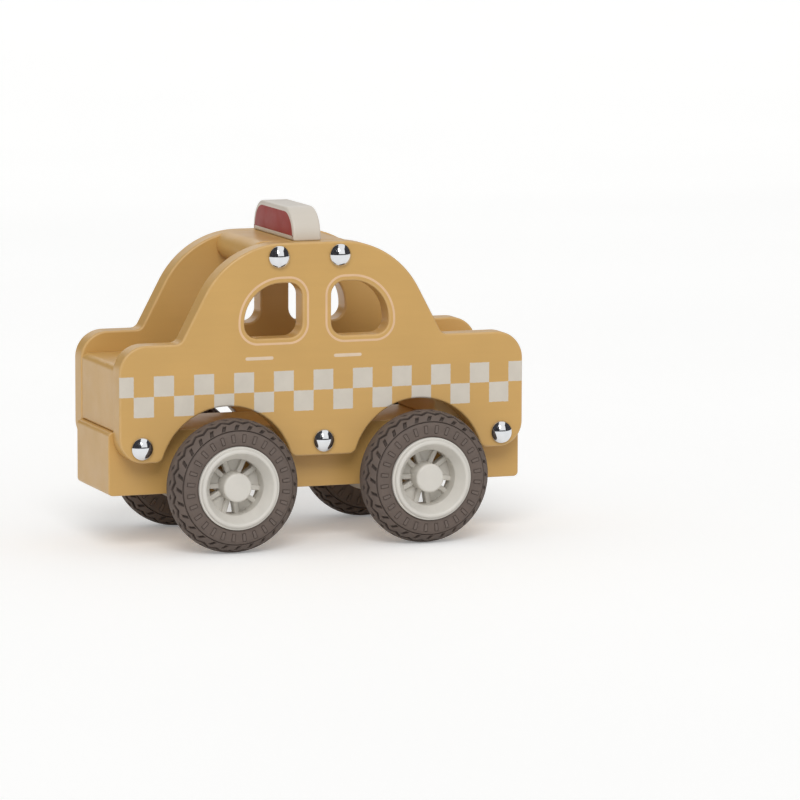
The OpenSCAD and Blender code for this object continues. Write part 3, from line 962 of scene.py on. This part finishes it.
class TAXI_OT_rims(Operator):
    """Mould the four dished rims with their pairs of ribs and see-through gaps"""

    bl_idname = "taxi.rims"
    bl_label = "Rims"

    def execute(self, context):
        wheels = context.scene.taxi_wheels
        finish = moulded_plastic(wheels, "cream_plastic")
        half = wheels.spoke / 2
        start, stop = wheels.hub - half, wheels.recess + half
        bar = [(start, -half), (stop, -half), (stop, half), (start, half)]
        run = math.tan(wheels.pair / 2)
        edge = wheels.recess + half / 2
        floor = [(start, -start * run), (edge, -edge * run), (edge, edge * run), (start, start * run)]
        back = web_back(wheels)
        step = half / 4
        rib_top = RIM_FACE - wheels.rib_depth
        floor_top = rib_top - wheels.rib_high
        for end, side in WHEELS:
            bm = bmesh.new()
            add_lathe(bm, ring_section(wheels), at_wheel(end, side))
            add_lathe(bm, hub_section(wheels), at_wheel(end, side))
            for pair in range(wheels.pairs):
                turn = (pair + 0.5) * 2 * math.pi / wheels.pairs + wheels.turn
                add_board(bm, [floor], back + 2 * step, floor_top, step / 2, at_wheel(end, side, turn))
                for offset in (-wheels.pair / 2, wheels.pair / 2):
                    add_board(bm, [bar], back + step, rib_top, half / 2, at_wheel(end, side, turn + offset))
            make_piece(f"{end}_{side}_wheel", bm, finish, f"{end}_wheelset", "cream_plastic",
                       f"{end}_{side}_rim", flat=True)
        return {"FINISHED"}


class TAXI_OT_hub_caps(Operator):
    """Turn the flat caps over the axles' ends"""

    bl_idname = "taxi.hub_caps"
    bl_label = "Hub caps"

    def execute(self, context):
        wheels = context.scene.taxi_wheels
        finish = moulded_plastic(wheels, "cap_plastic")
        for end, side in WHEELS:
            bm = bmesh.new()
            add_lathe(bm, cap_section(wheels), at_wheel(end, side), CAP_STEPS)
            make_piece(f"{end}_{side}_cap", bm, finish, f"{end}_wheelset", "cap_plastic",
                       f"{end}_{side}_hub_cap")
        return {"FINISHED"}


def stage_sheet(name, corners, material):
    """A flat sheet that belongs to the stage."""
    mesh = bpy.data.meshes.new(name)
    mesh.from_pydata(corners, [], [tuple(range(len(corners)))])
    mesh.materials.append(material)
    sheet = bpy.data.objects.new(name, mesh)
    bpy.context.scene.collection.objects.link(sheet)
    return sheet


def rays_seen(tree, dim, bright):
    """A strength that is bright to the camera and in reflections, and dim as light on surfaces."""
    nodes, links = tree.nodes, tree.links
    path = nodes.new("ShaderNodeLightPath")
    seen = path.outputs["Is Camera Ray"]
    for other in ("Is Glossy Ray", "Is Transmission Ray"):
        both = nodes.new("ShaderNodeMath")
        both.operation = "MAXIMUM"
        links.new(seen, both.inputs[0])
        links.new(path.outputs[other], both.inputs[1])
        seen = both.outputs[0]
    level = nodes.new("ShaderNodeMapRange")
    links.new(seen, level.inputs["Value"])
    level.inputs["To Min"].default_value = dim
    level.inputs["To Max"].default_value = bright
    return level.outputs[0]


# The room that the chrome reflects, with a sill under each slit
CARD_GREY = (0.07, 0.068, 0.075, 1.0)
CARD_LOW = 0.10
ROOM_END = 2.6
ROOM_SIDE = 1.5
ROOM_HIGH = 2.0
SILL_HIGH = 0.34
SILL_SPLIT = 0.4
# Where each end's cards stop along the taxi: at a long side's foot, at the roof's edge and in its middle
CARD_STOPS = {"front": (1.15, 1.7, 1.7), "rear": (-0.22, -0.38, 0.1)}


def reflection_cards():
    """A dark room that only reflections see, with a bright slit up each long side and across its roof."""
    finish = Finish("card_grey", specular=0.0)
    finish.shader.inputs["Base Color"].default_value = CARD_GREY
    finish.shader.inputs["Roughness"].default_value = 1.0
    low, high, cards = CARD_LOW, ROOM_HIGH, {}
    for end, way in ENDS.items():
        wall = way * ROOM_END
        foot, slit, waist = CARD_STOPS[end]
        y = ROOM_SIDE
        cards[f"{end}_wall"] = [(wall, -y, low), (wall, y, low), (wall, y, high), (wall, -y, high)]
        cards[f"{end}_roof"] = [(wall, -y, high), (slit, -y, high), (waist, 0, high), (slit, y, high),
                                (wall, y, high)]
        for side, hand in SIDES.items():
            y = hand * ROOM_SIDE
            cards[f"{side}_{end}"] = [(wall, y, low), (foot, y, low), (slit, y, high), (wall, y, high)]
            cards[f"{side}_{end}_sill"] = [(SILL_SPLIT, y, low), (foot, y, low), (foot, y, SILL_HIGH),
                                           (SILL_SPLIT, y, SILL_HIGH)]
    for name, corners in cards.items():
        card = stage_sheet(f"{name}_card", corners, finish.material)
        card.visible_camera = card.visible_diffuse = card.visible_shadow = False
        card.visible_transmission = card.visible_volume_scatter = False


class TAXI_OT_stage(Operator):
    """Set up the floor, the light and the camera"""

    bl_idname = "taxi.stage"
    bl_label = "Stage"

    def execute(self, context):
        scene = context.scene
        stage = scene.taxi_stage
        scene.view_settings.view_transform = "Standard"
        self.lay_floor(stage)
        self.light_world(scene, stage)
        reflection_cards()
        self.hang_lamp(scene, stage)
        self.stand_camera(scene, stage)
        return {"FINISHED"}

    def lay_floor(self, stage):
        finish = Finish("pale_floor", specular=0.15)
        clouds = finish.noise(0.4, 3.0)
        tone = finish.mottled(clouds, stage.floor, 0.99, 1.01)
        finish.coat(tone, finish.spread(clouds, 0.72, 0.8), (finish.noise(0.002), 0.00001))
        finish.shader.inputs["Emission Color"].default_value = (*WHITE, 1.0)
        glow = rays_seen(finish.material.node_tree, 0.0, stage.glow)
        finish.feed(finish.shader.inputs["Emission Strength"], glow)
        turns = [2 * math.pi * i / FLOOR_SIDES for i in range(FLOOR_SIDES)]
        corners = [(stage.floor_reach * math.cos(a), stage.floor_reach * math.sin(a), 0) for a in turns]
        stage_sheet("floor", corners, finish.material)

    def light_world(self, scene, stage):
        """White to the camera and in reflections, and a plain even fill on surfaces."""
        world = bpy.data.worlds.new("studio")
        scene.world = world
        world.use_nodes = True
        back = world.node_tree.nodes["Background"]
        back.inputs["Color"].default_value = (*WHITE, 1.0)
        world.node_tree.links.new(rays_seen(world.node_tree, stage.fill, 1.0), back.inputs["Strength"])

    def hang_lamp(self, scene, stage):
        lamp = bpy.data.lights.new("key", "SUN")
        lamp.energy = stage.key
        lamp.angle = stage.key_size
        key = bpy.data.objects.new("key", lamp)
        key.rotation_mode = "QUATERNION"
        key.rotation_quaternion = Vector(stage.key_way).to_track_quat("-Z", "Y")
        scene.collection.objects.link(key)

    def stand_camera(self, scene, stage):
        data = bpy.data.cameras.new("camera")
        data.lens = stage.lens
        data.sensor_width = 36.0
        data.clip_start = 0.05
        data.clip_end = 40.0
        camera = bpy.data.objects.new("camera", data)
        level = math.cos(stage.pitch)
        ahead = Vector((math.sin(stage.yaw) * level, math.cos(stage.yaw) * level, -math.sin(stage.pitch)))
        right = Vector((math.cos(stage.yaw), -math.sin(stage.yaw), 0))
        up = right.cross(ahead)
        c, s = math.cos(stage.roll), math.sin(stage.roll)
        turned = Matrix((right * c + up * s, up * c - right * s, -ahead)).transposed()
        camera.matrix_world = Matrix.Translation(stage.place) @ turned.to_4x4()
        scene.collection.objects.link(camera)
        scene.camera = camera


OPERATORS = (
    TAXI_OT_stage, TAXI_OT_side_panels, TAXI_OT_print_lines, TAXI_OT_inner_blocks, TAXI_OT_roof_sign,
    TAXI_OT_screws, TAXI_OT_axles, TAXI_OT_tyres, TAXI_OT_rims, TAXI_OT_hub_caps,
)
SETTINGS = {
    "taxi_boards": TaxiBoards, "taxi_prints": TaxiPrints, "taxi_hardware": TaxiHardware,
    "taxi_wheels": TaxiWheels, "taxi_stage": TaxiStage,
}


class TAXI_PT_sidebar(Panel):
    """Lists the taxi's pieces in the order that they are made"""

    bl_label = "Toy taxi"
    bl_idname = "TAXI_PT_sidebar"
    bl_space_type = "VIEW_3D"
    bl_region_type = "UI"
    bl_category = "Taxi"

    def draw(self, context):
        for operator in OPERATORS:
            self.layout.operator(operator.bl_idname)
        for name, group in SETTINGS.items():
            box = self.layout.box()
            for field in group.__annotations__:
                box.prop(getattr(context.scene, name), field)


def register():
    for cls in (*SETTINGS.values(), *OPERATORS, TAXI_PT_sidebar):
        bpy.utils.register_class(cls)
    for name, group in SETTINGS.items():
        setattr(bpy.types.Scene, name, bpy.props.PointerProperty(type=group))


def unregister():
    for name in SETTINGS:
        delattr(bpy.types.Scene, name)
    for cls in (TAXI_PT_sidebar, *reversed(OPERATORS), *SETTINGS.values()):
        bpy.utils.unregister_class(cls)


def main():
    register()
    for operator in OPERATORS:
        group, name = operator.bl_idname.split(".")
        getattr(getattr(bpy.ops, group), name)()


if __name__ == "__main__":
    main()
